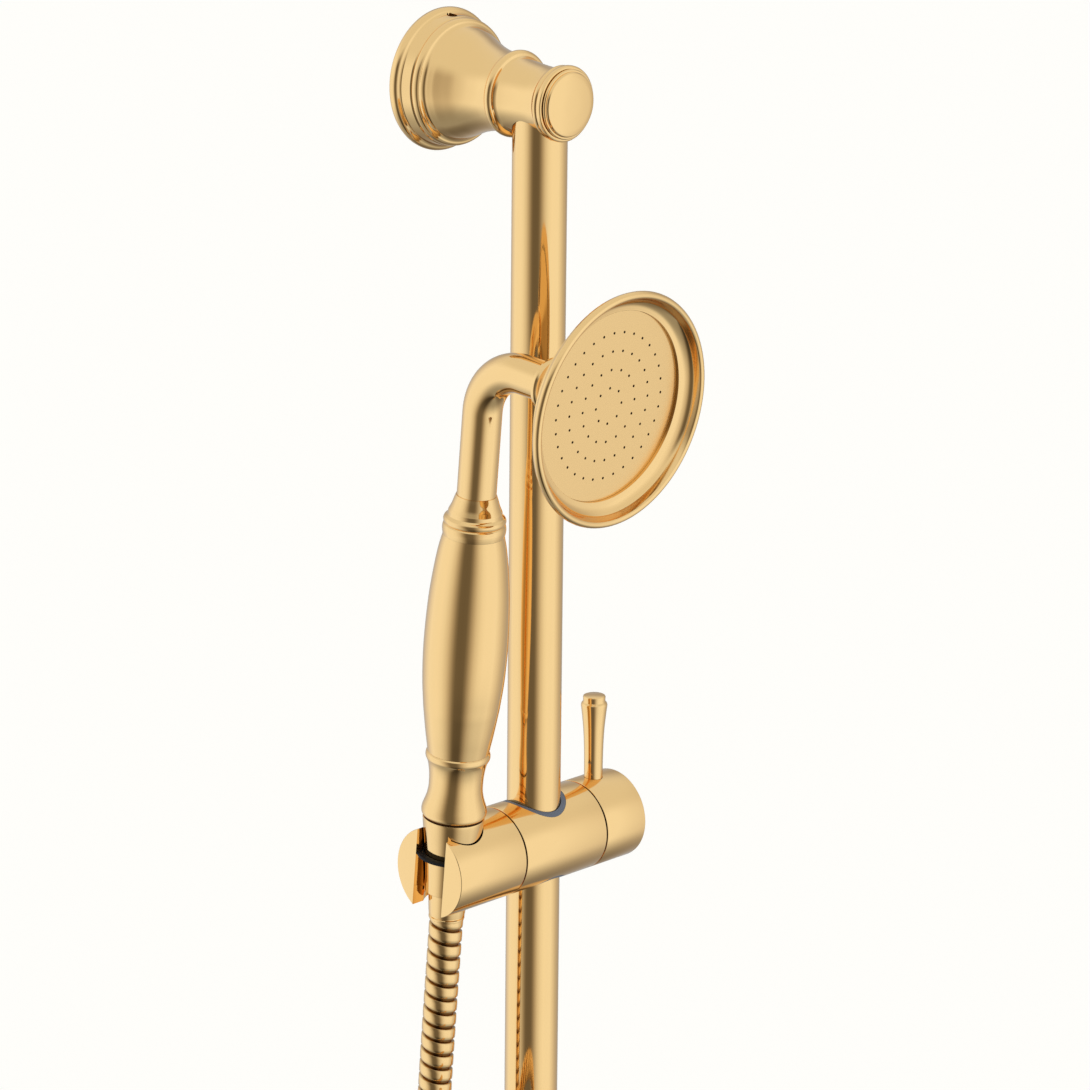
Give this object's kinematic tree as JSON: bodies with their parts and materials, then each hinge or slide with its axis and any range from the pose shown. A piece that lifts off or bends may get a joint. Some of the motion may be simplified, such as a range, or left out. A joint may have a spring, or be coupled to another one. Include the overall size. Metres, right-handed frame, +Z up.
{
  "type": "hand shower on slide rail",
  "caption": "Brushed-gold shower rail on two wall brackets, with a clamping slider, a tilting holder, a round-headed hand shower and a tied metal hose.",
  "frame": {"origin": "centre of the upper bracket's back face, on the wall", "axes": "+Z up along the rail; +Y into the wall, so the room is towards -Y; +X to the right as seen from the room"},
  "size_m": [0.1409, 0.1689, 0.8105],
  "materials": {
    "brushed_gold": "brushed gold",
    "plain_brass": "machined",
    "steel": "plain",
    "grey_plastic": "matte grey",
    "white_plastic": "matte white",
    "rubber": "black",
    "strap": "woven black",
    "metal_hose": "brushed gold spiral metal, hollow"
  },
  "bodies": {
    "wall_and_rail": {"upper_wall_plate": "steel", "upper_wall_screw_left": "steel", "upper_wall_screw_right": "steel", "upper_flange": "brushed_gold", "upper_grub_screw": "steel", "upper_post": "brushed_gold", "upper_post_nut": "plain_brass", "upper_end_cap": "brushed_gold", "upper_rail_bolt": "steel", "lower_wall_plate": "steel", "lower_wall_screw_left": "steel", "lower_wall_screw_right": "steel", "lower_flange": "brushed_gold", "lower_grub_screw": "steel", "lower_post": "brushed_gold", "lower_post_nut": "plain_brass", "lower_end_cap": "brushed_gold", "lower_rail_bolt": "steel", "rail_tube": "brushed_gold", "rail_upper_insert": "plain_brass", "rail_lower_insert": "plain_brass"},
    "glide": {"glide_sleeve": "white_plastic"},
    "slider": {"body_liner": "grey_plastic", "slider_body": "brushed_gold", "pivot_screw": "steel", "friction_washer": "white_plastic", "spring_washer": "steel"},
    "brake": {"brake_pad": "plain_brass"},
    "clamp": {"clamp_spindle": "plain_brass", "clamp_knob": "brushed_gold", "lever": "brushed_gold"},
    "holder": {"holder": "brushed_gold", "seat_ring": "rubber"},
    "hose_end": {"cone_nut": "brushed_gold", "hose_stem": "plain_brass", "hose_sleeve": "brushed_gold", "inlet_washer": "rubber"},
    "handset": {"lower_collar": "brushed_gold", "flow_regulator": "white_plastic", "handle_grip": "brushed_gold", "core_tube": "white_plastic", "upper_collar": "brushed_gold", "neck_tube": "brushed_gold", "head_bell": "brushed_gold", "spray_plate": "brushed_gold", "plate_seal": "rubber"},
    "hose": {"hose": "metal_hose", "hose_hank": "metal_hose", "hose_tie": "strap", "end_sleeve": "brushed_gold", "end_stem": "plain_brass", "end_nut": "brushed_gold", "end_washer": "rubber"}
  },
  "joints": [
    {"name": "slider_height", "type": "slide", "parent": "wall_and_rail", "child": "glide", "axis": [0, 0, 1], "range_m": [-0.353, 0.234]},
    {"name": "slider_swivel", "type": "hinge", "parent": "glide", "child": "slider", "pos_m": [0, -0.056, -0.309], "axis": [0, 0, 1], "range_deg": [-20, 75]},
    {"name": "lever_turn", "type": "hinge", "parent": "slider", "child": "clamp", "pos_m": [0.03, -0.056, -0.309], "axis": [1, 0, 0], "range_deg": [0, 75]},
    {"name": "brake_press", "type": "slide", "parent": "slider", "child": "brake", "axis": [1, 0, 0], "range_m": [0, 0.0005]},
    {"name": "holder_tilt", "type": "hinge", "parent": "slider", "child": "holder", "pos_m": [-0.03, -0.056, -0.309], "axis": [1, 0, 0], "range_deg": [-5, 25]},
    {"name": "handset_lift", "type": "slide", "parent": "holder", "child": "hose_end", "axis": [0, -0.0872, 0.9962], "range_m": [0, 0.04]},
    {"name": "handset_spin", "type": "hinge", "parent": "hose_end", "child": "handset", "pos_m": [-0.0478, -0.056, -0.309], "axis": [0, -0.0872, 0.9962], "range_deg": [-60, 40]},
    {"name": "hose_hang", "type": "hinge", "parent": "hose_end", "child": "hose", "pos_m": [-0.0478, -0.05403, -0.33151], "axis": [1, 0, 0], "range_deg": [-25, 5], "deforming": ["hose"]}
  ],
  "couplings": [
    {"joint": "brake_press", "follows": "lever_turn", "m_per_rad": 0.0003},
    {"joint": "hose_hang", "follows": "holder_tilt", "ratio": -1}
  ]
}
